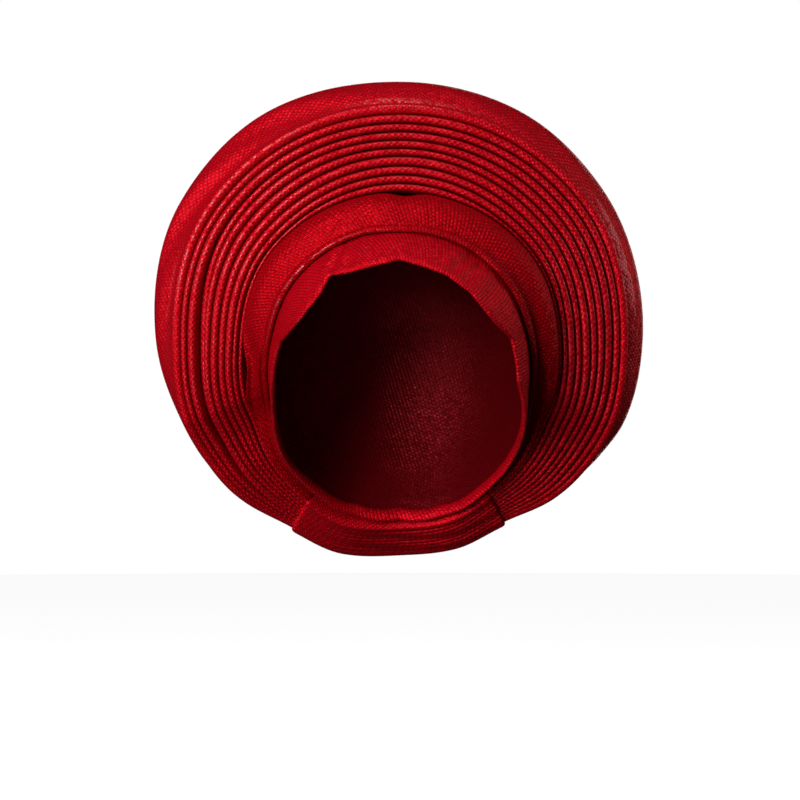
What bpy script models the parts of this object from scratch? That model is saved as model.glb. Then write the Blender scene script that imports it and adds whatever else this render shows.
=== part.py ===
# A tied gele: a pleated fan of stiff cloth gathered at the nape and worn over a cap.
# Metres, +Z up. The origin is where the inside of the cap sits on the top of the head,
# the face looks along -Y, and left in a name is the side of -X.
# The fan is laid out round a level axis along Y. An angle is measured round that axis
# from the top, negative to the left, and a section is the plane at one angle, where
# radius runs out from the axis and depth runs back along +Y.

import math
from collections import namedtuple

import bmesh
import bpy

# The head that the cap fits, to the outside of the cap
crown_height = 0.073  # from the axis up to the inside of the cap
head_front = 0.086  # from the widest section to the forehead
head_back = 0.094  # from the widest section to the back of the head
head_middle = 0.008  # depth of the widest section
head_fullness = 2.2  # power of the cap's section, 2 for an ellipse

# Cloth and clearances
cap_cloth = 0.0015
band_cloth = 0.0012
pleat_cloth = 0.0010
wrap_cloth = 0.0014
fold_gap = 0.0004  # between two folds that lie on each other
seat_gap = 0.0006  # between the band's fold and the cap

# The band over the forehead
band_fold = 0.0046  # thickness of its rolled edge
band_tuck = 0.011  # cloth turned in under the rolled edge
band_tail = 0.013  # cloth that goes in under the first pleat
band_swell = 0.0035  # how far its face stands out from flat
band_peep = 0.0024  # the opening over its middle, under the first pleat
band_end = 130  # angle at which it ends on each side, under the first pleat

# The pleats
base_lift = 0.0162  # from the cap to the foot of the fan
pleat_pitch = 0.00545
pleat_leg = 0.026  # depth of a fold
pleat_end = 160  # angle at which the pleats end, inside the nape wrap

# The outer wrap, from its ridge beside the last pleat to the back
ridge_width = 0.0056
ridge_leg = 0.016
rim_width = 0.0125  # from the ridge out to the silhouette
rim_depth = 0.026  # from the ridge back to the silhouette
back_depth = 0.114  # depth of the back
back_fullness = 0.62  # share of the way that the section keeps its direction
gather_depth = 0.0022
gather_reach = 70  # how far round from the nape the gathers show

# The wrap round the gathered ends
nape_cloth = 0.0014
nape_leg = 0.0085
nape_start = 145  # angle at which it starts on each side
nape_flare_left = 0.0085  # how far its edge stands out past the folds
nape_flare_right = 0.0035
nape_rib = 0.0007  # height of its ribs

station_step = 10  # degrees between two sections

# A row for each section of the head, by its angle. Girths are shares of the crown's
# radius. Edge and fold are turns from the widest section, in degrees and negative
# towards the face, of the cap's edge and of the band's rolled edge.
HeadRow = namedtuple(
    "HeadRow", "angle girth_left girth_right edge_left edge_right fold_left fold_right"
)
head_rows = (
    HeadRow(0, 1.00, 1.00, -53, -53, -35, -35),
    HeadRow(20, 1.01, 1.01, -55, -56, -32, -34),
    HeadRow(45, 1.04, 1.04, -49, -56, -27, -30),
    HeadRow(60, 1.06, 1.06, -50, -55, -24, -27),
    HeadRow(90, 1.06, 1.06, -31, -37, -10, -13),
    HeadRow(110, 1.12, 1.11, -14, -26, 1, 0),
    HeadRow(120, 1.19, 1.18, -4, -12, 7, 8),
    HeadRow(135, 1.36, 1.33, 8, 7, 15, 15),
    HeadRow(150, 1.51, 1.50, 20, 20, 26, 26),
    HeadRow(165, 1.73, 1.73, 33, 33, 35, 35),
    HeadRow(180, 1.82, 1.82, 38, 38, 39, 39),
)

# A row for each section of the fan. Foot is the turn at which it stands on the cap.
# Lift, pitch, leg, rim and back are shares of the sizes above. Tilt turns the stack of
# pleats back, in degrees, lean sets each fold back by a share of its height in the
# stack, valley is the dip behind the ridge, and held is 1 inside the nape wrap.
FanRow = namedtuple(
    "FanRow", "angle foot lift pitch tilt lean leg rim_left rim_right back valley_left valley_right held"
)
fan_rows = (
    FanRow(0, -16, 1.00, 1.00, 3, 0.34, 1.00, 1.18, 1.18, 0.90, 0.45, 0.45, 0),
    FanRow(30, -16, 1.00, 1.00, 6, 0.32, 1.00, 1.44, 1.15, 0.90, 0.80, 0.35, 0),
    FanRow(60, -13, 1.00, 0.97, 14, 0.22, 0.90, 1.24, 0.85, 0.85, 0.80, 0.15, 0),
    FanRow(90, -8, 1.02, 0.90, 24, 0.08, 0.70, 0.87, 0.80, 0.75, 0.50, 0.10, 0),
    FanRow(110, -1, 1.00, 0.85, 26, 0.02, 0.50, 0.10, 0.45, 0.55, 0.30, 0.20, 0),
    FanRow(120, 6, 0.80, 0.80, 27, 0.00, 0.42, 0.06, 0.16, 0.45, 0.30, 0.30, 0),
    FanRow(135, 14, 0.60, 0.70, 38, 0.00, 0.30, 0.04, 0.04, 0.35, 0.30, 0.30, 0.5),
    FanRow(150, 26, 0.44, 0.60, 54, 0.00, 0.26, 0.02, 0.02, 0.30, 0.30, 0.30, 1),
    FanRow(165, 34, 0.34, 0.58, 58, 0.00, 0.26, 0.02, 0.02, 0.30, 0.30, 0.30, 1),
    FanRow(180, 38, 0.32, 0.57, 59, 0.00, 0.26, 0.02, 0.02, 0.30, 0.30, 0.30, 1),
)

# A row for each pleat, from the innermost out. Its thickness at five places round the
# fan is a share of the stack's, worked out against the other rows.
PleatRow = namedtuple("PleatRow", "left left_top top right_top right")
pleat_rows = (
    PleatRow(3.0, 3.0, 5.4, 3.0, 3.0),
    PleatRow(3.2, 4.4, 5.4, 5.0, 3.2),
    PleatRow(5.2, 5.6, 5.5, 5.2, 5.4),
    PleatRow(4.6, 6.0, 6.1, 6.1, 4.3),
    PleatRow(5.4, 6.2, 4.9, 5.1, 5.3),
    PleatRow(4.3, 5.8, 5.1, 6.0, 4.6),
    PleatRow(5.0, 4.6, 5.3, 5.5, 4.5),
    PleatRow(6.0, 6.2, 5.2, 5.4, 6.0),
    PleatRow(4.5, 5.2, 6.0, 6.2, 4.6),
)
pleat_places = {"left": -90, "left_top": -45, "top": 0, "right_top": 45, "right": 90}
even_from = 150  # angle from which the pleats are all of one thickness

crown_radius = crown_height + cap_cloth
stack_pitch = len(pleat_rows) * pleat_pitch


def clear_scene():
    for old in list(bpy.data.objects):
        bpy.data.objects.remove(old)


def cloth(name, colour):
    made = bpy.data.materials.new(name)
    made.use_nodes = True
    shader = made.node_tree.nodes["Principled BSDF"]
    shader.inputs["Base Color"].default_value = (*colour, 1.0)
    shader.inputs["Roughness"].default_value = 0.5
    shader.inputs["Metallic"].default_value = 0.1
    shader.inputs["Sheen Weight"].default_value = 0.3
    return made


def smooth_between(places, values, at):
    """The value at a place, on a smooth curve through the values, level at both ends."""
    last = len(places) - 1
    slopes = [0.0] * (last + 1)
    for i in range(1, last):
        slopes[i] = (values[i + 1] - values[i - 1]) / (places[i + 1] - places[i - 1])
    i = max(k for k in range(last) if places[k] <= at or k == 0)
    span = places[i + 1] - places[i]
    t = (at - places[i]) / span
    return (
        values[i] * (1 + 2 * t) * (1 - t) ** 2
        + slopes[i] * span * t * (1 - t) ** 2
        + values[i + 1] * t * t * (3 - 2 * t)
        + slopes[i + 1] * span * t * t * (t - 1)
    )


def column(rows, name, angle):
    """A column of a table at an angle. A column with two sides is read on the angle's."""
    if name not in rows[0]._fields:
        name += "_left" if angle < 0 else "_right"
    return smooth_between(
        [row.angle for row in rows], [getattr(row, name) for row in rows], abs(angle)
    )


def whole_turn(angle):
    """The same angle, from -180 to 180."""
    return (angle + 180) % 360 - 180


def place(angle, radius, depth):
    turn = math.radians(angle)
    return (
        radius * math.sin(turn),
        depth,
        radius * math.cos(turn) - crown_height,
    )


def cap_face(angle, turn):
    """Radius and depth of the cap's outer face."""
    power = 2 / head_fullness
    length = head_front if turn < 0 else head_back
    run = math.sin(math.radians(turn))
    level = max(0.0, math.cos(math.radians(turn)))
    return (
        crown_radius * column(head_rows, "girth", angle) * level**power,
        head_middle + length * math.copysign(abs(run) ** power, run),
    )


def on_cap(angle, turn, lift):
    """A point at a height over the cap's face, square to it."""
    radius, depth = cap_face(angle, turn)
    before, after = cap_face(angle, turn - 1), cap_face(angle, turn + 1)
    along = (after[0] - before[0], after[1] - before[1])
    length = math.hypot(*along)
    return radius + lift * along[1] / length, depth - lift * along[0] / length


def in_stack(angle, across, inward):
    """A point of the fan: across the stack of pleats from its foot, and in from their edges."""
    radius, depth = on_cap(
        angle, column(fan_rows, "foot", angle), base_lift * column(fan_rows, "lift", angle)
    )
    tilt = math.radians(column(fan_rows, "tilt", angle))
    return (
        radius + across * math.cos(tilt) - inward * math.sin(tilt),
        depth + across * math.sin(tilt) + inward * math.cos(tilt),
    )


def stack_height(angle):
    return stack_pitch * column(fan_rows, "pitch", angle)


def set_back(angle, across):
    """How far the edge of a fold lies behind the first one's."""
    return across * column(fan_rows, "lean", angle)


def pleat_shares(angle):
    """The share of the stack up to each pleat, starting with 0."""
    places = list(pleat_places.values())
    nearest = max(places[0], min(places[-1], angle))
    widths = [
        smooth_between(places, [getattr(row, name) for name in pleat_places], nearest)
        for row in pleat_rows
    ]
    total = sum(widths)
    evened = max(0.0, min(1.0, (abs(angle) - places[-1]) / (even_from - places[-1])))
    shares = [0.0]
    for width in widths:
        share = width / total * (1 - evened) + evened / len(pleat_rows)
        shares.append(shares[-1] + share)
    return shares


def bezier(start, first, second, end, t):
    a, b, c, d = (1 - t) ** 3, 3 * t * (1 - t) ** 2, 3 * t * t * (1 - t), t**3
    return tuple(a * p + b * q + c * r + d * s for p, q, r, s in zip(start, first, second, end))


def blend(one, other, share):
    return tuple(p + (q - p) * share for p, q in zip(one, other))


def loft(name, sections, fold, material, closed_section, whole_loop):
    """A skin over sections of (radius, depth) points, keyed by their angles.

    Quads are split from the edge of a fold inward on both of its sides, up to the point
    numbered fold and after it, so that two folds that lie on each other match.
    """
    mesh = bmesh.new()
    rings = [
        [mesh.verts.new(place(angle, *point)) for point in points]
        for angle, points in sections
    ]
    count = len(rings[0])
    last = len(rings) if whole_loop else len(rings) - 1
    for i in range(last):
        here, beyond = rings[i], rings[(i + 1) % len(rings)]
        for j in range(count if closed_section else count - 1):
            k = (j + 1) % count
            if j < fold:
                mesh.faces.new((here[j], beyond[j], here[k]))
                mesh.faces.new((beyond[j], beyond[k], here[k]))
            else:
                mesh.faces.new((here[j], beyond[j], beyond[k]))
                mesh.faces.new((here[j], beyond[k], here[k]))
    if closed_section:
        mesh.faces.new(rings[0])
        mesh.faces.new(list(reversed(rings[-1])))
        bmesh.ops.recalc_face_normals(mesh, faces=mesh.faces)
    bmesh.ops.remove_doubles(mesh, verts=mesh.verts, dist=1e-6)
    data = bpy.data.meshes.new(name)
    mesh.to_mesh(data)
    mesh.free()
    data.materials.append(material)
    made = bpy.data.objects.new(name, data)
    gele.objects.link(made)
    return made


def give_thickness(piece, thickness):
    """Cloth of this thickness, from the piece's face inward."""
    wall = piece.modifiers.new("cloth", "SOLIDIFY")
    wall.thickness = thickness
    wall.offset = -1
    wall.use_even_offset = True
    piece.data.shade_smooth()


def round_the_loop():
    return range(-180 + station_step, 181, station_step)


def make_cap():
    rows = 7
    sections = []
    for angle in round_the_loop():
        edge = column(head_rows, "edge", angle)
        turns = [edge + (90 - edge) * j / rows for j in range(rows + 1)]
        sections.append((angle, [cap_face(angle, turn) for turn in turns]))
    give_thickness(loft("inner_cap", sections, 0, red_cap, False, True), cap_cloth)


def band_section(angle):
    """From the cloth turned in under the fold, round the fold and back under the pleats."""
    turn = column(head_rows, "fold", angle)
    half = band_fold / 2
    step = math.degrees(band_tuck / cap_face(angle, turn)[0])
    tuck = on_cap(angle, turn + step, seat_gap)
    under = on_cap(angle, turn, seat_gap)
    tip = on_cap(angle, turn - math.degrees(half / crown_radius), seat_gap + half)
    over = on_cap(angle, turn, seat_gap + band_fold)
    peep = band_peep if angle == 0 else 0
    foot = in_stack(angle, -fold_gap - peep, 0)
    tail = in_stack(angle, -fold_gap - peep, band_tail * column(fan_rows, "leg", angle))
    middle = blend(over, foot, 0.5)
    along = (foot[0] - over[0], foot[1] - over[1])
    length = math.hypot(*along)
    swell = band_swell * min(1.0, length / rim_width)
    crest = (middle[0] + swell * along[1] / length, middle[1] - swell * along[0] / length)
    return [tuck, under, tip, over, crest, foot, tail]


def make_band():
    angles = range(-band_end, band_end + 1, station_step)
    sections = [(angle, band_section(angle)) for angle in angles]
    give_thickness(loft("crown_band", sections, 2, red_band, False, False), band_cloth)


def folded(angle, low, high, edge, leg, thickness):
    """A fold between two heights in the stack: its outer face, then its inner one."""
    half = (high - low) / 2
    hollow = edge + thickness + (half - thickness) / 2
    points = (
        (low, edge + leg),
        (low, edge + half),
        (low + half * 0.5, edge + half * 0.13),
        (high - half * 0.5, edge + half * 0.13),
        (high, edge + half),
        (high, edge + leg),
        (high - thickness, edge + leg),
        (high - thickness, hollow),
        (low + thickness, hollow),
        (low + thickness, edge + leg),
    )
    return [in_stack(angle, *point) for point in points]


def make_pleat(number):
    sections = []
    for angle in range(-pleat_end, pleat_end + 1, station_step):
        height = stack_height(angle)
        shares = pleat_shares(angle)
        low = height * shares[number] + fold_gap / 2
        high = height * shares[number + 1] - fold_gap / 2
        leg = pleat_leg * column(fan_rows, "leg", angle)
        edge = set_back(angle, low)
        sections.append((angle, folded(angle, low, high, edge, leg, pleat_cloth)))
    loft(f"pleat_{number + 1}", sections, 3, red_pleat, True, False)


def wrap_section(angle):
    """From inside the ridge, round it, out to the silhouette and over the back."""
    low = stack_height(angle) + fold_gap / 2
    high = low + ridge_width * (0.55 + 0.45 * column(fan_rows, "pitch", angle))
    edge = set_back(angle, low)
    half = (high - low) / 2
    held = max(0.0, min(1.0, column(fan_rows, "held", angle)))
    points = [
        in_stack(angle, low, edge + ridge_leg * column(fan_rows, "leg", angle)),
        in_stack(angle, low, edge + half),
        in_stack(angle, low + half * 0.5, edge + half * 0.13),
        in_stack(angle, high - half * 0.5, edge + half * 0.13),
    ]
    shoulder = in_stack(angle, high, edge + half)
    free = (
        shoulder[0] + rim_width * column(fan_rows, "rim", angle),
        shoulder[1] + rim_depth * column(fan_rows, "back", angle),
    )
    outline = blend(free, in_stack(angle, high, edge + half + nape_leg), held)
    back = (0.0, back_depth)
    way = (-0.1 * outline[0], back_depth - outline[1])
    length = math.hypot(*way)
    reach = 0.4 * math.dist(shoulder, outline)
    before = (outline[0] - reach * way[0] / length, outline[1] - reach * way[1] / length)
    dip = column(fan_rows, "valley", angle)
    after = (
        shoulder[0] + 0.3 * (1 - dip) * (outline[0] - shoulder[0]),
        shoulder[1] + 0.7 * dip * (outline[1] - shoulder[1]),
    )
    straight_after, straight_before = blend(shoulder, outline, 0.33), blend(shoulder, outline, 0.67)
    after, before = blend(after, straight_after, held), blend(before, straight_before, held)
    points += [bezier(shoulder, after, before, outline, j / 3) for j in range(4)]
    keep = back_fullness
    out = (outline[0] + keep * way[0], outline[1] + keep * way[1])
    level = (keep * outline[0], back_depth)
    rows = 6
    nape = max(0.0, 1 - abs(180 - abs(angle)) / gather_reach)
    fold = gather_depth * nape * (1 if round(angle / station_step) % 2 else -1)
    for j in range(1, rows + 1):
        radius, depth = bezier(outline, out, level, back, j / rows)
        near_rim = math.sin(math.pi * j / rows)
        points.append((radius, depth + fold * near_rim))
    points[-1] = back
    return points


def make_wrap():
    sections = [(angle, wrap_section(angle)) for angle in round_the_loop()]
    give_thickness(loft("outer_wrap", sections, 3, red_wrap, False, True), wrap_cloth)


def nape_section(angle, inside):
    """The channel round the gathered ends, its outer face first. Inside runs from 0 to 1."""
    ribs = 4
    flare = nape_flare_left if angle < 0 else nape_flare_right
    low = -fold_gap
    high = stack_height(angle) + ridge_width + fold_gap
    edge = -fold_gap - flare * min(1.0, 0.3 + 4 * inside) * (1 - 0.45 * inside**2)
    outer = [(low - nape_cloth, nape_leg)]
    inner = [(low, nape_leg)]
    for j in range(2 * ribs + 1):
        share = j / (2 * ribs)
        rib = nape_rib if j % 2 else -nape_rib
        rounding = 4 * fold_gap * (2 * share - 1) ** 4
        across = low + (high - low) * share
        lip = nape_cloth * (2 * share - 1)
        outer.append((across + lip, edge - nape_cloth - rib + rounding))
        inner.append((across, edge - rib + rounding))
    outer.append((high + nape_cloth, nape_leg))
    inner.append((high, nape_leg))
    return [in_stack(angle, *point) for point in outer + list(reversed(inner))]


def make_nape_wrap():
    """Its first section lies on the straight line between two stations, as the folds do."""
    start = nape_start - nape_start % station_step + station_step
    angles = [nape_start, *range(start, 361 - start, station_step), 360 - nape_start]
    sections = []
    for angle in angles:
        inside = 1 - abs(180 - angle) / (180 - nape_start)
        past = angle % station_step
        before = nape_section(whole_turn(angle - past), inside)
        after = nape_section(whole_turn(angle - past + station_step), inside)
        flat = math.cos(math.radians(min(past, station_step - past)))
        section = []
        for one, other in zip(before, after):
            radius, depth = blend(one, other, past / station_step)
            section.append((radius * flat, depth))
        sections.append((whole_turn(angle), section))
    loft("nape_wrap", sections, 5, red_wrap, True, False)


clear_scene()
gele = bpy.data.collections.new("gele")
bpy.context.scene.collection.children.link(gele)
red_cap = cloth("cap cloth", (0.42, 0.006, 0.018))
red_band = cloth("band cloth", (0.42, 0.006, 0.018))
red_pleat = cloth("pleat cloth", (0.46, 0.007, 0.022))
red_wrap = cloth("wrap cloth", (0.40, 0.007, 0.022))

make_cap()
make_band()
for pleat_number in range(len(pleat_rows)):
    make_pleat(pleat_number)
make_wrap()
make_nape_wrap()
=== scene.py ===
import math

import bpy
import numpy as np
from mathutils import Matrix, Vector


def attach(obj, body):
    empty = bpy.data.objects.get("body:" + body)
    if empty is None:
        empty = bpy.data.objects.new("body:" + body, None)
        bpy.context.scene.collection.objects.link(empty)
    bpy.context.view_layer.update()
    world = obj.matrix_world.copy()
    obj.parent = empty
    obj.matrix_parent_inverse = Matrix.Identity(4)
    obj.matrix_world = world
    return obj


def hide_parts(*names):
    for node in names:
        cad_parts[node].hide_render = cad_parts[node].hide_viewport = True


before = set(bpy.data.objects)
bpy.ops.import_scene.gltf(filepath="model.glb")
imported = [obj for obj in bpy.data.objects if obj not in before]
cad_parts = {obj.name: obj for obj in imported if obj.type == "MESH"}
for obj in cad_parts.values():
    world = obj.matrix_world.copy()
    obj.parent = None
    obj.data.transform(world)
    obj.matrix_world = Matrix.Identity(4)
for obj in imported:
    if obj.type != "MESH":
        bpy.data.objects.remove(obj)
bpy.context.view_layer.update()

bpy.ops.object.select_all(action="DESELECT")

# studio

studio = {
    "cameraPlace": (0.0, -2.0, -0.109),  # straight in front of the opening
    "lens": 150.0,
    "floorHeight": -0.42,            # the head tie is held up, so the floor lies well below
    "floorRadius": 4.0,
    "background": 1.0,
    "ambient": 0.03,
    "target": (0, 0, -0.07),         # the middle of the head tie
    "keyPlace": (-0.85, -1.25, 0.85),
    "keySize": 0.6,
    "keyPower": 12.5,
    "sidePlace": (-1.1, -1.6, 0.15),
    "sideSize": 0.8,
    "sidePower": 25.0,
    "leftPlace": (-1.7, -0.4, 0.0),
    "leftSize": 0.8,
    "leftPower": 2.0,
    "topPlace": (0.0, -0.6, 1.4),
    "topSize": 0.8,
    "topPower": 5.5,
    "rightPlace": (1.3, 0.3, 0.3),
    "rightSize": 0.8,
    "rightPower": 3.4,
    "lowPlace": (-0.3, -0.5, -0.385),
    "lowSize": 0.25,
    "lowPower": 0.7,
    "backPlace": (0.25, 1.9, 0.05),
    "backSize": 1.7,
    "backPower": 17.0,
}


def aimedAt(place, target):
    return (Vector(target) - Vector(place)).to_track_quat("-Z", "Y").to_euler()


def softLight(name, place, size, power):
    turned = aimedAt(place, studio["target"])
    bpy.ops.object.light_add(type="AREA", location=place, rotation=turned)
    lamp = bpy.context.object
    lamp.name = name
    lamp.data.shape = "DISK"
    lamp.data.size = size
    lamp.data.energy = power


bpy.ops.object.camera_add(location=studio["cameraPlace"], rotation=(math.pi / 2, 0, 0))
camera = bpy.context.object
camera.name = "camera"
camera.data.lens = studio["lens"]
camera.data.clip_end = 50
bpy.context.scene.camera = camera
bpy.context.scene.view_settings.view_transform = "Standard"

for lamp in ("key", "side", "left", "top", "right", "low", "back"):
    softLight(
        lamp + "Light", studio[lamp + "Place"], studio[lamp + "Size"], studio[lamp + "Power"]
    )
print("studio: camera and lights are set")

# the shape of the crown and the fan, as in the CAD

crown = {
    "height": 0.073,                 # from the axis of the fan up to the inside of the cap
    "radius": 0.0745,
    "front": 0.086,
    "back": 0.094,
    "middle": 0.008,
    "fullness": 2.2,                 # 2 would be an ellipse, more is squarer
    "angle":      (0, 20, 45, 60, 90, 110, 120, 135, 150, 165, 180),
    "girthLeft":  (1.00, 1.01, 1.04, 1.06, 1.06, 1.12, 1.19, 1.36, 1.51, 1.73, 1.82),
    "girthRight": (1.00, 1.01, 1.04, 1.06, 1.06, 1.11, 1.18, 1.33, 1.50, 1.73, 1.82),
    "foldLeft":   (-35, -33, -31, -28.5, -16, -2, 6, 15, 26, 35, 39),
    "foldRight":  (-35, -34, -32, -30, -18, -3, 6, 15, 26, 35, 39),
}
fan = {
    "baseLift": 0.0162,              # from the cap out to the foot of the fan
    "height": 9 * 0.00545,           # nine pleats
    "leg": 0.026,
    "gap": 0.0004,
    "angle": (0, 30, 60, 90, 110, 120, 135, 150, 165, 180),
    "foot":  (-16, -16, -13, -8, -1, 6, 14, 26, 34, 38),
    "lift":  (1.00, 1.00, 1.00, 1.02, 1.00, 0.80, 0.60, 0.44, 0.34, 0.32),
    "pitch": (1.00, 1.00, 0.97, 0.90, 0.85, 0.80, 0.70, 0.60, 0.58, 0.57),
    "tilt":  (3, 6, 14, 24, 26, 27, 38, 54, 58, 59),
    "lean":  (0.34, 0.32, 0.22, 0.08, 0.02, 0, 0, 0, 0, 0),
    "legShare": (1.00, 1.00, 0.90, 0.70, 0.50, 0.42, 0.30, 0.26, 0.26, 0.26),
    "flareLeft": 0.0080,             # how far the gathered ends stand out at the nape
    "flareRight": 0.0035,
    "flareStart": (134, 153),        # degrees from the top, on each side
    "flareSwap": (155, 205),         # where the left side passes into the right
    "flareEase": 0.45,               # how much less they stand out in the middle
}


def readRow(places, values, at):
    # a smooth curve through a row of a table, level at both ends
    places, values = np.array(places, float), np.array(values, float)
    slopes = np.zeros_like(values)
    slopes[1:-1] = (values[2:] - values[:-2]) / (places[2:] - places[:-2])
    i = np.clip(np.searchsorted(places, at, side="right") - 1, 0, len(places) - 2)
    span = places[i + 1] - places[i]
    t = np.clip((at - places[i]) / span, 0, 1)
    return (
        values[i] * (1 + 2 * t) * (1 - t) ** 2
        + slopes[i] * span * t * (1 - t) ** 2
        + values[i + 1] * t * t * (3 - 2 * t)
        + slopes[i + 1] * span * t * t * (t - 1)
    )


def across(table, name, angle):
    # the value at each angle, read from the side's own row where there are two
    if name in table:
        return readRow(table["angle"], table[name], abs(angle))
    left = readRow(table["angle"], table[name + "Left"], abs(angle))
    right = readRow(table["angle"], table[name + "Right"], abs(angle))
    return np.where(angle < 0, left, right)


def bump(angle, middle, width):
    # 1 at the middle, falling smoothly to 0 on both sides
    return np.exp(-(((angle - middle) / width) ** 2))


def ramp(value, start, end):
    t = np.clip((value - start) / (end - start), 0, 1)
    return t * t * (3 - 2 * t)


def capFace(angle, turn):
    power = 2 / crown["fullness"]
    length = np.where(turn < 0, crown["front"], crown["back"])
    run = np.sin(np.radians(turn))
    level = np.clip(np.cos(np.radians(turn)), 0, 1)
    radius = crown["radius"] * across(crown, "girth", angle) * level**power
    return radius, crown["middle"] + length * np.sign(run) * abs(run) ** power


def onCap(angle, turn, lift):
    radius, depth = capFace(angle, turn)
    r0, d0 = capFace(angle, turn - 1)
    r1, d1 = capFace(angle, turn + 1)
    length = np.hypot(r1 - r0, d1 - d0)
    return radius + lift * (d1 - d0) / length, depth - lift * (r1 - r0) / length


def inStack(angle, rise, inward):
    # rise is across the pleats from the foot of the fan, inward from their edges
    lift = fan["baseLift"] * across(fan, "lift", angle)
    radius, depth = onCap(angle, across(fan, "foot", angle), lift)
    tilt = np.radians(across(fan, "tilt", angle))
    return (
        radius + rise * np.cos(tilt) - inward * np.sin(tilt),
        depth + rise * np.sin(tilt) + inward * np.cos(tilt),
    )


def stackHeight(angle):
    return fan["height"] * across(fan, "pitch", angle)


def flareOut(angle):
    # the gathered ends come forward at the nape, more on the left
    side = fan["flareRight"] + (fan["flareLeft"] - fan["flareRight"]) * ramp(
        angle % 360, *fan["flareSwap"]
    )
    fromTop = abs((angle + 180) % 360 - 180)
    reach = ramp(fromTop, *fan["flareStart"])
    return side * reach * (1 - fan["flareEase"] * ramp(fromTop, fan["flareStart"][1], 180))


def placed(angle, radius, depth):
    turn = np.radians(angle)
    return np.stack(
        [
            radius * np.sin(turn),
            depth + 0 * turn,
            radius * np.cos(turn) - crown["height"],
        ],
        axis=-1,
    )


def throughPoints(controls, steps):
    # a smooth line through the control points, each an array over the angles
    controls = [controls[0], *controls, controls[-1]]
    rows = []
    for k in range(1, len(controls) - 2):
        p0, p1, p2, p3 = (np.stack(c, axis=-1) for c in controls[k - 1 : k + 3])
        for j in range(steps):
            t = j / steps
            rows.append(
                0.5
                * (
                    2 * p1
                    + (p2 - p0) * t
                    + (2 * p0 - 5 * p1 + 4 * p2 - p3) * t**2
                    + (3 * p1 - p0 - 3 * p2 + p3) * t**3
                )
            )
    rows.append(np.stack(controls[-2], axis=-1))
    return np.array(rows)


def clothSheet(name, points, threads, cloth, thickness, nodes, closed=False, inside=None):
    # points is rows along the cloth's cut by columns round the fan, threads the same in
    # metres of cloth, for the weave, or two of them and the row where a seam joins them
    rows, columns = points.shape[:2]
    bpy.ops.object.select_all(action="DESELECT")
    bpy.ops.mesh.primitive_grid_add(
        x_subdivisions=columns - 1, y_subdivisions=rows - 1, size=1, calc_uvs=True
    )
    piece = bpy.context.object
    piece.name = name
    mesh = piece.data
    mesh.vertices.foreach_set("co", points.reshape(-1))
    uvs = mesh.uv_layers[0]
    uvs.name = "threads"
    corners = np.zeros(len(mesh.loops), int)
    mesh.loops.foreach_get("vertex_index", corners)
    if isinstance(threads, tuple):
        first, second, seamRow = threads
        beyond = np.repeat(np.arange(len(corners) // 4) // (columns - 1) >= seamRow, 4)
        laid = np.where(
            beyond[:, None], second.reshape(-1, 2)[corners], first.reshape(-1, 2)[corners]
        )
    else:
        laid = threads.reshape(-1, 2)[corners]
    uvs.data.foreach_set("uv", laid.reshape(-1))
    mesh.update()
    if closed:
        bpy.ops.object.mode_set(mode="EDIT")
        bpy.ops.mesh.select_all(action="SELECT")
        bpy.ops.mesh.remove_doubles(threshold=0.000002)
        bpy.ops.object.mode_set(mode="OBJECT")
    mesh.materials.append(cloth)
    wall = piece.modifiers.new("wall", "SOLIDIFY")
    wall.thickness = thickness
    wall.offset = -1
    if inside:
        mesh.materials.append(inside)
        wall.material_offset = 1
    bpy.ops.object.modifier_apply(modifier="wall")
    bpy.ops.object.shade_smooth()
    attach(piece, "root")
    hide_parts(*nodes)
    return piece


def threadsOf(points, angle, measured):
    # metres of cloth along the arch, on the row measured, and across the arch
    steps = np.linalg.norm(np.diff(points[measured], axis=0), axis=1)
    along = np.concatenate([[0], np.cumsum(steps)])
    along -= along[np.argmin(abs(angle))]
    stepsUp = np.linalg.norm(np.diff(points, axis=0), axis=2)
    up = np.concatenate([np.zeros((1, points.shape[1])), np.cumsum(stepsUp, axis=0)])
    return np.stack([np.broadcast_to(along, up.shape), up], axis=-1)


def roundPole(threads, angle):
    # the same cloth laid flat round its last row, the pole
    away = threads[-1, :, 1] - threads[..., 1]
    turn = np.radians(angle)
    return np.stack([away * np.sin(turn), away * np.cos(turn)], axis=-1)


def report(name, piece):
    # the area of one side of a walled sheet
    area = sum(face.area for face in piece.data.polygons) / 2
    print(name, round(area, 4), "m2,", len(piece.data.polygons), "faces")


# the cloth


class Wire:
    # a socket that takes Python's arithmetic
    def __init__(self, tree, socket):
        self.tree = tree
        self.socket = socket

    def maths(self, operation, *values):
        return self.tree.node("ShaderNodeMath", {"operation": operation}, values)

    def __add__(self, other):
        return self.maths("ADD", self, other)

    def __sub__(self, other):
        return self.maths("SUBTRACT", self, other)

    def __mul__(self, other):
        return self.maths("MULTIPLY", self, other)

    def __truediv__(self, other):
        return self.maths("DIVIDE", self, other)

    def __pow__(self, other):
        return self.maths("POWER", self, other)

    def __rsub__(self, other):
        return self.maths("SUBTRACT", other, self)

    def __gt__(self, other):
        return self.maths("GREATER_THAN", self, other)

    __radd__ = __add__
    __rmul__ = __mul__

    def floor(self):
        return self.maths("FLOOR", self)

    def fraction(self):
        return self.maths("FRACT", self)

    def sine(self):
        return self.maths("SINE", self)


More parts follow.
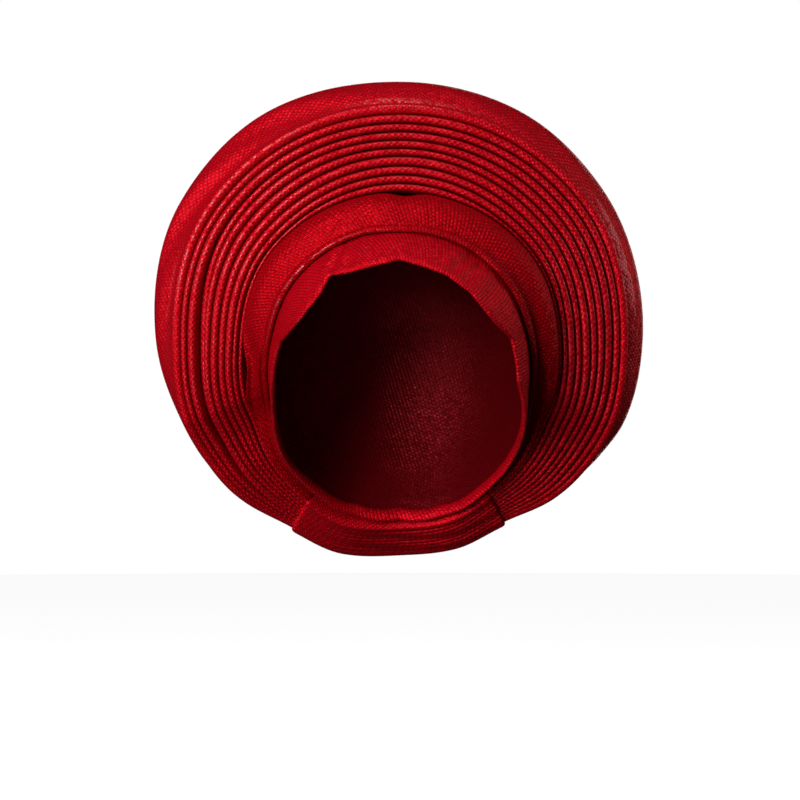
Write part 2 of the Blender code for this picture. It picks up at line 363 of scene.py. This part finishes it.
class ClothTree:
    def __init__(self, name):
        self.material = bpy.data.materials.new(name)
        self.material.use_nodes = True
        self.tree = self.material.node_tree
        self.shader = self.tree.nodes["Principled BSDF"]

    def node(self, kind, settings=None, inputs=(), output=0):
        made = self.tree.nodes.new(kind)
        for key, value in (settings or {}).items():
            setattr(made, key, value)
        named = inputs.items() if isinstance(inputs, dict) else enumerate(inputs)
        for key, value in named:
            if isinstance(value, Wire):
                self.tree.links.new(value.socket, made.inputs[key])
            else:
                made.inputs[key].default_value = value
        return Wire(self, made.outputs[output])

    def mixed(self, share, one, other):
        return self.node(
            "ShaderNodeMix", {"data_type": "RGBA"}, {0: share, 6: one, 7: other}, output=2
        )

    def feed(self, **sockets):
        for key, value in sockets.items():
            name = key.replace("_", " ")
            if isinstance(value, Wire):
                self.tree.links.new(value.socket, self.shader.inputs[name])
            else:
                self.shader.inputs[name].default_value = value


weave = {
    "lean": 0.16,                    # how far the threads stray from square
    "wobbleScale": 60.0,
    "wobbleAlong": 0.15,             # in crossings, along the arch and across it
    "wobbleUp": 0.18,
    "relief": 0.00042,
    "strands": 3,                    # fine strands in each thread
    "strandRelief": 0.00004,
    "thread": (0.68, 0.0014, 0.011, 1),
    "pale": 1.3,                     # the palest threads, against the plain ones: partly random thread tone, partly painted glints and sheen
    "paleByChance": 0.6,
    "paleByDrift": 0.3,
    "driftScale": 16.0,
    "dipShadeShare": 0.36,                    # painted shade: how much of the colour is left where a thread dips under
    "roughness": 0.42,
    "sunkRoughness": 0.60,
    "tilt": 1.3,                     # how far each crossing is tilted by chance
    "glint": 0.26,                   # how much smoother the smoothest threads are
    "metallic": 0.45,
    "specular": 0.3,
    "edgeTint": (1, 0.3, 0.3, 1),    # the threads shine red at a slant too
    "coat": 0.6,                     # the shine of the brightest threads
    "coatFrom": 0.3,                 # the share of threads without it
    "coatRoughness": 0.27,
    "coatIndex": 1.7,
}


def wovenCloth(
    name,
    pitch,
    rib,
    thread=weave["thread"],
    relief=1.0,
    specular=weave["specular"],
    coat=weave["coat"],
    shining=(-1.0, 1.0),
):
    # pitch is from one crossing of the threads to the next, along the arch and across it,
    # rib is how much the threads that run across the arch stand out as ribs, and shining
    # is where across the arch, in metres of cloth, some of them glint
    tree = ClothTree(name)
    uv = tree.node("ShaderNodeUVMap", {"uv_map": "threads"})
    along = tree.node("ShaderNodeSeparateXYZ", inputs=[uv])
    up = Wire(tree, along.socket.node.outputs[1])
    flat = {"noise_dimensions": "2D"}
    wobble = tree.node(
        "ShaderNodeTexNoise", flat, {"Vector": uv, "Scale": weave["wobbleScale"], "Detail": 2.0}
    )
    b = up / pitch[1] + wobble * weave["wobbleUp"]
    a = along / pitch[0] + b * weave["lean"] + wobble * weave["wobbleAlong"]
    # threads go over and under by turns, like a chessboard
    over = (a * math.pi).sine() * (b * math.pi).sine() * 0.5 + 0.5
    ribs = ((a * math.pi).sine() ** 2) ** 0.5
    bead = over * (1 - rib) + ribs * rib
    strand = (a * (2 * math.pi * weave["strands"])).sine() * (bead > 0.5)
    cell = tree.node("ShaderNodeCombineXYZ", inputs=[a.floor(), b.floor(), 0.0])
    chance = tree.node("ShaderNodeTexWhiteNoise", flat, {"Vector": cell})
    beside = tree.node("ShaderNodeVectorMath", {"operation": "ADD"}, [cell, (7.3, 2.9, 0)])
    second = tree.node("ShaderNodeTexWhiteNoise", flat, {"Vector": beside})
    tilt = (a.fraction() - 0.5) * (chance - 0.5) + (b.fraction() - 0.5) * (second - 0.5)
    drift = tree.node(
        "ShaderNodeTexNoise", flat, {"Vector": uv, "Scale": weave["driftScale"], "Detail": 3.0}
    )
    # some threads paler by chance and in soft drifts: random tone together with painted glints
    # and sheen
    pale = tuple(min(1.0, value * weave["pale"]) for value in thread[:3]) + (1,)
    # painted shade: the threads darken where they dip under the raised ones
    dark = tuple(value * weave["dipShadeShare"] for value in thread[:3]) + (1,)
    lit = tree.mixed(
        chance * weave["paleByChance"] + drift * weave["paleByDrift"], thread, pale
    )
    # raised threads take the lit colour, dipped ones the painted shade
    colour = tree.mixed(bead, dark, lit)
    gloss = weave["sunkRoughness"] - bead * (weave["sunkRoughness"] - weave["roughness"])
    gloss = gloss - chance**3 * bead * weave["glint"]
    strands = tree.node(
        "ShaderNodeBump",
        inputs={"Strength": 1.0, "Distance": weave["strandRelief"] * relief, "Height": strand},
    )
    shine = (chance > weave["coatFrom"]) * (up > shining[0]) * (1 - (up > shining[1]))
    raised = tree.node(
        "ShaderNodeBump",
        inputs={
            "Strength": 1.0,
            "Distance": weave["relief"] * relief,
            "Height": bead + tilt * weave["tilt"],
            "Normal": strands,
        },
    )
    tree.feed(
        Base_Color=colour,
        Roughness=gloss,
        Metallic=weave["metallic"],
        Normal=raised,
        Specular_IOR_Level=specular,
        Specular_Tint=weave["edgeTint"],
        Coat_Weight=shine * bead * coat,
        Coat_Roughness=weave["coatRoughness"],
        Coat_IOR=weave["coatIndex"],
    )
    return tree.material


capCloth = wovenCloth(
    "capCloth", (0.0023, 0.00125), 0.55, specular=0.25, coat=0.7, shining=(0.0082, 0.0126)
)
# the inside of the cap: the same weave, much darker and with half the relief
capInsideCloth = wovenCloth(
    "capInsideCloth", (0.0023, 0.0012), 0.55, (0.16, 0.0006, 0.004, 1), relief=0.5, coat=0.0
)
# painted shade: the band's threads are a darker copy of the same red cloth
shadedBandCloth = wovenCloth(
    "shadedBandCloth",
    (0.0020, 0.00125),
    0.45,
    (0.48, 0.0007, 0.006, 1),
    specular=0.14,
    coat=0.7,
    shining=(0.0140, 0.0178),
)
pleatCloth = wovenCloth("pleatCloth", (0.0018, 0.0018), 0.15, coat=0.3)
wrapCloth = wovenCloth(
    "wrapCloth", (0.0018, 0.00145), 0.3, relief=0.8, coat=0.4, shining=(0.0135, 0.0270)
)
print("cloth: the weave is ready")

# the cap, whose front edge shows below the band

cap = {
    "wall": 0.0010,
    "hem": 0.007,                    # cloth turned in at the edge
    "hemRoll": 0.0014,
    "lip": 0.0009,                   # the doubled edge stands up by this much
    "lipReach": 0.028,               # as a share of the way back
    "puff": 0.0006,
    "puffRate": 7,                   # it ends a seventh of the way back
    "rows": 52,
    "spacing": 1.35,                 # the rows lie closer near the edge
    # the front edge as seen from in front, in mm from the axis of the fan
    "edgeX": (-71.5, -60.0, -47.2, -41.8, -32.3, -16.0, 0, 15.6, 28.4, 42.4, 56.4, 66.5, 69.3),
    "edgeZ": (-2.5, 10.6, 27.3, 37.6, 39.0, 43.6, 47.4, 43.0, 38.0, 27.4, 9.9, 0.0, -12.2),
    # and how far round the crown it lies at the sides and the nape
    "sideAngle": (110, 120, 135, 150, 165, 180),
    "sideLeft": (-14, -4, 7, 20, 33, 38),
    "sideRight": (-26, -12, 7, 20, 33, 38),
    "creases": (                     # angle at the edge, lean, width and depth of each crease
        (-48, 20, 2.6, 0.0017),
        (-35, 12, 3.2, 0.0012),
        (-20, 8, 4.0, 0.0006),
        (38, 4, 3.0, 0.0015),
        (49, -3, 3.4, 0.0010),
        (66, -6, 4.0, 0.0008),
    ),
    "creaseStart": (-0.008, 0.03),   # shares of the way back where they grow and fade
    "creaseEnd": (0.11, 0.18),
    "creaseRun": 0.16,
    "creaseSwell": 0.2,              # the cloth pushed up beside each of them
    "creaseBeside": 1.9,
}


def capEdge(angle):
    # walks along the edge's straight stretches, then finds each place on the crown
    share = np.linspace(0, 1, 30)
    xs, zs = np.array(cap["edgeX"]), np.array(cap["edgeZ"])
    walkX = (xs[:-1, None] + np.diff(xs)[:, None] * share).reshape(-1)
    walkZ = (zs[:-1, None] + np.diff(zs)[:, None] * share).reshape(-1)
    seen = np.degrees(np.arctan2(walkX, walkZ))
    full = 1000 * crown["radius"] * across(crown, "girth", seen)
    level = np.clip(np.hypot(walkX, walkZ) / full, 0, 1) ** (crown["fullness"] / 2)
    turn = -np.degrees(np.arccos(level))
    side = np.array(cap["sideAngle"], float)
    places = np.concatenate([-side[::-1], seen, side])
    turns = np.concatenate([cap["sideLeft"][::-1], turn, cap["sideRight"]])
    edge = np.interp(angle, places, turns)
    kernel = np.array([1, 2, 3, 2, 1]) / 9
    return np.convolve(np.pad(edge, 2, mode="edge"), kernel, mode="valid")


def makeCap():
    angle = np.linspace(-180, 180, 541)
    edge = capEdge(angle)
    radius = capFace(angle, edge)[0]
    roll, hemTurn = cap["hemRoll"], np.degrees(cap["hem"] / np.maximum(radius, 0.05))
    rows = []
    for share in (1, 0.6, 0.25):
        rows.append(onCap(angle, edge + hemTurn * share, -2 * roll))
    for j in range(1, 8):
        around = math.pi * j / 8
        turn = -np.degrees(roll * math.sin(around) / radius)
        rows.append(onCap(angle, edge + turn, cap["lip"] - roll - roll * math.cos(around)))
    for j in range(cap["rows"] + 1):
        share = (j / cap["rows"]) ** cap["spacing"]
        turn = edge + (90 - edge) * share
        lift = cap["lip"] * math.exp(-((share / cap["lipReach"]) ** 2)) + 0 * angle
        lift += cap["puff"] * math.sin(min(1.0, share * cap["puffRate"]) * math.pi)
        for start, lean, wide, deep in cap["creases"]:
            near = ramp(share, *cap["creaseStart"]) * (1 - ramp(share, *cap["creaseEnd"]))
            middle = start + lean * share / cap["creaseRun"]
            beside = middle - cap["creaseBeside"] * wide
            lift -= deep * near * bump(angle, middle, wide)
            lift += cap["creaseSwell"] * deep * near * bump(angle, beside, wide)
        rows.append(onCap(angle, turn, lift))
    points = np.array([placed(angle, *row) for row in rows])
    points[:, -1] = points[:, 0]
    points[-1] = points[-1].mean(axis=0)
    threads = threadsOf(points, angle, 20)
    made = clothSheet(
        "capSheet", points, (threads, roundPole(threads, angle), 34), capCloth, cap["wall"],
        ["inner_cap"], closed=True, inside=capInsideCloth,
    )
    report("cap", made)


makeCap()

# the band across the front, with its rolled edge

band = {
    "wall": 0.0010,
    "fold": 0.0034,
    "tuck": 0.011,
    "tail": 0.013,
    "seat": 0.0008,
    "end": 150.6,
    "peeps": ((2, 5.5, 0.0023), (-101, 8, 0.0036)),  # dark openings under the innermost pleat
    "angle": (-180, -125, -108, -95, -80, -50, -20, 0, 20, 50, 80, 100, 115, 130, 180),
    "swell": (0.0, 0.2, -0.6, -0.5, 0.6, 0.9, 1.0, 1.0, 1.0, 0.9, 0.8, 0.7, 0.8, 0.6, 0.0),
    "swellSize": 0.0036,
    "fullLength": 0.0125,            # where the band is narrower than this, it swells less
}


def makeBand():
    angle = np.linspace(-band["end"], band["end"], 451)
    turn = across(crown, "fold", angle)
    half = band["fold"] / 2
    radius = capFace(angle, turn)[0]
    step = np.degrees(band["tuck"] / radius)
    tipStep = np.degrees(half / crown["radius"])
    peep = sum(deep * bump(angle, middle, wide) for middle, wide, deep in band["peeps"])
    flare = flareOut(angle)
    legShare = across(fan, "legShare", angle)
    over = onCap(angle, turn, band["seat"] + band["fold"])
    foot = inStack(angle, -fan["gap"] - peep, 0.2 * peep - flare)
    tail = inStack(angle, -fan["gap"] - peep, band["tail"] * legShare - flare)
    alongR, alongD = foot[0] - over[0], foot[1] - over[1]
    length = np.hypot(alongR, alongD)
    swell = band["swellSize"] * readRow(band["angle"], band["swell"], angle)
    swell = swell * np.minimum(1, length / band["fullLength"])

    def onFace(share, out):
        return (
            over[0] + alongR * share + out * swell * alongD / length,
            over[1] + alongD * share - out * swell * alongR / length,
        )

    controls = [
        onCap(angle, turn + step, band["seat"]),
        onCap(angle, turn + step * 0.4, band["seat"]),
        onCap(angle, turn, band["seat"] + 0.05 * half),
        onCap(angle, turn - tipStep * 0.75, band["seat"] + half * 0.35),
        onCap(angle, turn - tipStep, band["seat"] + half),
        onCap(angle, turn - tipStep * 0.75, band["seat"] + half * 1.7),
        onFace(0.03, 0.06),
        onFace(0.14, -0.70),
        onFace(0.30, -0.12),
        onFace(0.56, 0.95),
        onFace(0.82, 0.90),
        foot,
        tail,
    ]
    rows = throughPoints(controls, 5)
    points = np.array([placed(angle, row[:, 0], row[:, 1]) for row in rows])
    threads = threadsOf(points, angle, 35)
    made = clothSheet(
        "bandSheet", points, threads, shadedBandCloth, band["wall"], ["crown_band"]
    )
    report("band", made)


makeBand()

# the nine pleats, innermost first

pleats = {
    "wall": 0.0008,
    "slit": 0.0014,                  # between one roll and the next, where they show
    "end": 160,
    "evenFrom": 150,                 # past this angle they are all of one thickness
    "roundness": 0.9,                # 1 would be a half circle, less is flatter in front
    "fade": (115, 150),              # degrees over which they grow alike towards the nape
    "wander": 0.00035,               # each edge strays in and out by this much
    "wanderRate": 3.1,
    "wanderShift": 70,
    "threadShift": 0.037,
    "skewed": (50, 115),
    "skew": 0.0004,                  # at the sides each roll's inner edge lies further back
    "angle": (-90, -45, 0, 45, 90),
    "thickness": (
        (3.0, 3.0, 5.4, 3.0, 3.0),
        (3.2, 4.4, 5.4, 5.0, 3.2),
        (5.2, 5.6, 5.5, 5.2, 5.4),
        (4.6, 6.0, 6.1, 6.1, 4.3),
        (5.4, 6.2, 4.9, 5.1, 5.3),
        (4.3, 5.8, 5.1, 6.0, 4.6),
        (5.0, 4.6, 5.3, 5.5, 4.5),
        (6.0, 6.2, 5.2, 5.4, 6.0),
        (4.5, 5.2, 6.0, 6.2, 4.6),
    ),
    "recess": (                      # in mm, how far each stands behind its neighbours
        (1.5, 1.0, 0.0, 0.5, 1.5),
        (0.0, 0.0, 0.3, 0.0, 0.5),
        (0.0, 0.2, 0.0, 0.3, 0.0),
        (0.8, 0.3, 0.0, 0.0, 0.6),
        (0.0, 0.0, 0.4, 0.2, 0.0),
        (0.2, 0.4, 0.0, 0.0, 0.5),
        (5.4, 1.8, 0.3, 0.2, 0.0),
        (0.0, 0.0, 0.0, 0.4, 0.3),
        (0.6, 0.8, 0.5, 0.0, 0.0),
    ),
}


def pleatShares(angle):
    nearest = np.clip(angle, pleats["angle"][0], pleats["angle"][-1])
    widths = np.array([readRow(pleats["angle"], row, nearest) for row in pleats["thickness"]])
    evened = np.clip((abs(angle) - 90) / (pleats["evenFrom"] - 90), 0, 1)
    shares = widths / widths.sum(axis=0) * (1 - evened) + evened / len(widths)
    return np.concatenate([np.zeros((1, len(angle))), np.cumsum(shares, axis=0)])


def makePleat(number):
    angle = np.linspace(-pleats["end"], pleats["end"], 481)
    shares = pleatShares(angle)
    height = stackHeight(angle)
    low = height * shares[number] + pleats["slit"] / 2
    high = height * shares[number + 1] - pleats["slit"] / 2
    half = (high - low) / 2
    middle = (high + low) / 2
    leg = fan["leg"] * across(fan, "legShare", angle)
    fade = 1 - ramp(abs(angle), *pleats["fade"])
    recess = 0.001 * readRow(pleats["angle"], pleats["recess"][number], np.clip(angle, -90, 90))
    skew = pleats["skew"] * ramp(abs(angle), *pleats["skewed"])
    phase = np.radians(angle * pleats["wanderRate"] + pleats["wanderShift"] * number)
    wander = pleats["wander"] * np.sin(phase) * fade
    edge = low * across(fan, "lean", angle) + recess * fade + wander - flareOut(angle)
    rows = []
    legRows, roundRows = 4, 14
    for j in range(legRows):
        rows.append(inStack(angle, low, edge + leg + (half + skew - leg) * j / legRows))
    for j in range(roundRows + 1):
        around = math.pi * j / roundRows
        rise = middle - half * math.cos(around)
        back = half * (1 - math.sin(around) ** pleats["roundness"])
        back = back + skew * (1 + math.cos(around)) / 2
        rows.append(inStack(angle, rise, edge + back))
    for j in range(1, legRows + 1):
        rows.append(inStack(angle, high, edge + half + (leg - half) * j / legRows))
    points = np.array([placed(angle, *row) for row in rows])
    threads = threadsOf(points, angle, legRows + roundRows // 2)
    threads[..., 0] += pleats["threadShift"] * number
    node = f"pleat_{number + 1}"
    made = clothSheet(
        f"pleatSheet{number + 1}", points, threads, pleatCloth, pleats["wall"],
        [node],
    )
    report(node, made)


for number in range(9):
    makePleat(number)

# the outer wrap, from its ridge to the back

wrap = {
    "wall": 0.0012,
    "ridge": 0.0062,
    "ridgeLeg": 0.016,
    "rimWidth": 0.0125,
    "rimDepth": 0.026,
    "backDepth": 0.114,
    "fullness": 0.62,
    "napeLeg": 0.0085,
    "angle":       (0, 30, 60, 90, 110, 120, 135, 150, 165, 180),
    "rimLeft":     (1.18, 1.44, 1.24, 0.87, 0.10, 0.06, 0.04, 0.02, 0.02, 0.02),
    "rimRight":    (1.18, 1.15, 0.85, 0.80, 0.45, 0.16, 0.04, 0.02, 0.02, 0.02),
    "backShare":   (0.90, 0.90, 0.85, 0.75, 0.55, 0.45, 0.35, 0.30, 0.30, 0.30),
    "valleyLeft":  (0.12, 0.45, 0.72, 0.50, 0.30, 0.30, 0.30, 0.30, 0.30, 0.30),
    "valleyRight": (0.12, 0.15, 0.12, 0.10, 0.20, 0.30, 0.30, 0.30, 0.30, 0.30),
    "held":        (0, 0, 0, 0, 0, 0, 0.5, 1, 1, 1),
    "gathers": 24,                   # folds that fan out up the back from the nape
    "gatherDepth": 0.0060,
    "gatherMiddle": 0.6,             # the folds rise by 0.4 of the depth and sink by 0.6
    "gatherReach": 0.17,
    "billow": 0.0012,                # the loose cloth swells and sinks by this much
    "gatherCentre": -0.235,          # height of the point that they spread from
    "wrinkle": 0.0009,
    "wrinkleRun": 31,                # degrees round the fan from one wrinkle to the next
    "plainFrom": 1.0,                # metres across the cloth, well past where it glints
    "seamRow": 4,                    # behind the outline, where the back is sewn on
    "seamDepth": 0.0007,
}


def ridgeHeight(angle):
    # it grows narrower towards the nape, though less than the pleats do
    return wrap["ridge"] * (0.55 + 0.45 * across(fan, "pitch", angle))


def bezier(start, first, second, end, t):
    a, b, c, d = (1 - t) ** 3, 3 * t * (1 - t) ** 2, 3 * t * t * (1 - t), t**3
    return tuple(a * p + b * q + c * r + d * s for p, q, r, s in zip(start, first, second, end))


def blended(one, other, share):
    return tuple(p + (q - p) * share for p, q in zip(one, other))


def normalsOf(points):
    # for a closed round of columns, the first and last rows left out
    alongRow = np.zeros_like(points)
    alongRow[:, 1:-1] = points[:, 2:] - points[:, :-2]
    alongRow[:, 0] = alongRow[:, -1] = points[:, 1] - points[:, -2]
    normal = np.cross(alongRow[1:-1], points[2:] - points[:-2])
    return normal / np.maximum(np.linalg.norm(normal, axis=2, keepdims=True), 1e-9)


def wrinkles(points, angle):
    # long soft wrinkles along the wide outer cloth, most of them on the left
    share = np.arange(1, len(points) - 1)[:, None] / (len(points) - 1)
    wave = np.sin(2 * math.pi * (1.5 * share + angle / wrap["wrinkleRun"]))
    strength = bump(angle, -54, 36) + 0.4 * bump(angle, 40, 45)
    moved = wrap["wrinkle"] * wave * strength * np.sin(math.pi * share)
    return normalsOf(points) * moved[..., None]


def gathers(points):
    # how far each point of the back moves along its normal, the first and last rows left out
    x, z = points[1:-1, :, 0], points[1:-1, :, 2]
    away = np.hypot(x, z - wrap["gatherCentre"])
    spread = np.arctan2(x, z - wrap["gatherCentre"])
    spread = spread + 0.05 * np.sin(5 * spread + 1) + 0.03 * np.sin(11 * spread + 2)
    reach = wrap["gatherReach"] + 0.035 * np.sin(7 * spread + 0.5) + 0.025 * np.sin(17 * spread)
    fold = abs(np.cos(wrap["gathers"] / 2 * spread)) - wrap["gatherMiddle"]
    strength = (1 - ramp(away, 0.3 * reach, reach + 0.06)) * (1 - ramp(abs(spread), 1.0, 1.45))
    share = np.arange(1, len(points) - 1)[:, None] / (len(points) - 1)
    moved = wrap["gatherDepth"] * fold * strength * ramp(share, 0.02, 0.14)
    billow = wrap["billow"] * np.sin(38 * x + 1) * np.sin(31 * z + 2)
    moved = moved + billow * ramp(share, 0.05, 0.3)
    moved[wrap["seamRow"] - 1] -= wrap["seamDepth"]
    moved[wrap["seamRow"] - 2] += 0.4 * wrap["seamDepth"]
    moved[wrap["seamRow"]] += 0.4 * wrap["seamDepth"]
    return normalsOf(points) * moved[..., None]


def makeWrap():
    angle = np.linspace(-180, 180, 541)
    low = stackHeight(angle) + fan["gap"] / 2
    high = low + ridgeHeight(angle)
    edge = low * across(fan, "lean", angle) - flareOut(angle)
    half, middle = (high - low) / 2, (high + low) / 2
    held = np.clip(across(wrap, "held", angle), 0, 1)
    leg = wrap["ridgeLeg"] * across(fan, "legShare", angle)
    rows = [inStack(angle, low, edge + leg + (half - leg) * j / 4) for j in range(4)]
    for j in range(13):
        around = math.pi * j / 16
        rise = middle - half * math.cos(around)
        back = half * (1 - math.sin(around) ** pleats["roundness"])
        rows.append(inStack(angle, rise, edge + back))
    ridgeRows = len(rows)
    shoulder = inStack(angle, high, edge + half)
    free = (
        shoulder[0] + wrap["rimWidth"] * across(wrap, "rim", angle),
        shoulder[1] + wrap["rimDepth"] * across(wrap, "backShare", angle),
    )
    tucked = inStack(angle, high, edge + half + wrap["napeLeg"])
    outline = blended(free, tucked, held)
    back = (0 * angle, wrap["backDepth"] + 0 * angle)
    way = (-0.1 * outline[0], back[1] - outline[1])
    length = np.hypot(*way)
    reach = 0.4 * np.hypot(shoulder[0] - outline[0], shoulder[1] - outline[1])
    before = (outline[0] - reach * way[0] / length, outline[1] - reach * way[1] / length)
    dip = across(wrap, "valley", angle)
    after = (
        shoulder[0] + 0.3 * (1 - dip) * (outline[0] - shoulder[0]),
        shoulder[1] + 0.7 * dip * (outline[1] - shoulder[1]),
    )
    after = blended(after, blended(shoulder, outline, 0.33), held)
    before = blended(before, blended(shoulder, outline, 0.67), held)
    for j in range(16):
        rows.append(bezier(shoulder, after, before, outline, j / 16))
    keep = wrap["fullness"]
    out = (outline[0] + keep * way[0], outline[1] + keep * way[1])
    level = (keep * outline[0], back[1])
    frontRows = len(rows)
    for j in range(49):
        rows.append(bezier(outline, out, level, back, j / 48))
    points = np.array([placed(angle, *row) for row in rows])
    points[:, -1] = points[:, 0]
    points[-1] = points[-1].mean(axis=0)
    points[ridgeRows:frontRows] += wrinkles(points[ridgeRows - 1 : frontRows + 1], angle)
    points[frontRows:-1] += gathers(points[frontRows - 1 :])
    points[:, -1] = points[:, 0]
    threads = threadsOf(points, angle, 10)
    backThreads = roundPole(threads, angle) + wrap["plainFrom"]
    seam = frontRows + wrap["seamRow"]
    made = clothSheet(
        "wrapSheet", points, (threads, backThreads, seam), wrapCloth, wrap["wall"],
        ["outer_wrap"], closed=True,
    )
    report("wrap", made)


makeWrap()

# the wrap round the gathered ends at the nape

nape = {
    "wall": 0.0012,
    "start": 149.5,
    "leg": 0.0085,
    "over": 0.0017,                  # how far it stands over the pleats
    "hemDepth": 0.0009,              # its edges are turned in between them
    "hemWidth": 1.4,                 # in degrees
    "turnIn": 0.003,                 # from its front to where it turns back into the stack
    "roundness": 0.8,
    "softened": (4, 26),             # degrees from its ends where the pleats show less under it
    "softShare": 0.45,
    "wave": 0.0004,
    "waveRate": 7,
    "waveShift": 80,
}


def makeNape():
    turned = np.linspace(nape["start"], 360 - nape["start"], 131)
    angle = (turned + 180) % 360 - 180
    fromEnd = np.minimum(turned - nape["start"], 360 - nape["start"] - turned)
    near = np.clip(fromEnd / nape["hemWidth"], 0, 1)
    over = -nape["hemDepth"] + (nape["over"] + nape["hemDepth"]) * (1 - (1 - near) ** 2) ** 0.5
    height = stackHeight(angle)
    ridge = ridgeHeight(angle)
    low, high = -over, height + ridge + over
    front = -flareOut(turned) - over
    lean = across(fan, "lean", angle)
    soft = 1 - nape["softShare"] * ramp(fromEnd, *nape["softened"])
    turnBack = front + nape["turnIn"]
    rows = []
    for j in range(6):
        rows.append(inStack(angle, low, nape["leg"] + (turnBack - nape["leg"]) * j / 6))
    widths = [height / 9] * 9 + [ridge]
    start = 0
    for k in range(10):
        half = widths[k] / 2
        middle = start + half
        phase = np.radians(turned * nape["waveRate"] + nape["waveShift"] * k)
        wave = nape["wave"] * np.sin(phase)
        for j in range(7):
            around = math.pi * (j + 0.5) / 7
            rise = middle - half * math.cos(around)
            if k == 0:
                rise = rise + low * (1 - j / 6)
            if k == 9:
                rise = rise + over * (j / 6)
            back = half * (1 - math.sin(around) ** nape["roundness"]) * soft
            rows.append(inStack(angle, rise, front + lean * start + back + wave))
        start = start + widths[k]
    for j in range(1, 7):
        rows.append(inStack(angle, high, turnBack + (nape["leg"] - turnBack) * j / 6))
    points = np.array([placed(angle, *row) for row in rows])
    threads = threadsOf(points, turned - 180, len(rows) // 2) + wrap["plainFrom"]
    made = clothSheet(
        "napeSheet", points, threads, wrapCloth, nape["wall"], ["nape_wrap"]
    )
    report("nape", made)


makeNape()

# floor and surroundings


def makeFloor():
    bpy.ops.object.select_all(action="DESELECT")
    bpy.ops.mesh.primitive_circle_add(
        vertices=96, radius=studio["floorRadius"], fill_type="NGON", location=(0, 0, 0)
    )
    floor = bpy.context.object
    floor.name = "floor"
    floor.location.z = studio["floorHeight"]
    bpy.ops.object.transform_apply(location=True)
    tree = ClothTree("paleFloor")
    tree.feed(Base_Color=(0.9, 0.9, 0.9, 1), Roughness=0.9)
    tree.feed(Emission_Color=(1, 1, 1, 1), Emission_Strength=0.9)
    floor.data.materials.append(tree.material)
    # the floor shows white but throws no light up at the cloth
    floor.visible_diffuse = False
    floor.visible_glossy = False


def makeSurroundings():
    world = bpy.data.worlds.new("studioWhite")
    bpy.context.scene.world = world
    world.use_nodes = True
    nodes, links = world.node_tree.nodes, world.node_tree.links
    background = nodes["Background"]
    background.inputs["Color"].default_value = (1, 1, 1, 1)
    path = nodes.new("ShaderNodeLightPath")
    strength = nodes.new("ShaderNodeMix")
    strength.inputs[2].default_value = studio["ambient"]
    strength.inputs[3].default_value = studio["background"]
    links.new(path.outputs["Is Camera Ray"], strength.inputs[0])
    links.new(strength.outputs[0], background.inputs["Strength"])


makeFloor()
makeSurroundings()

print("done")
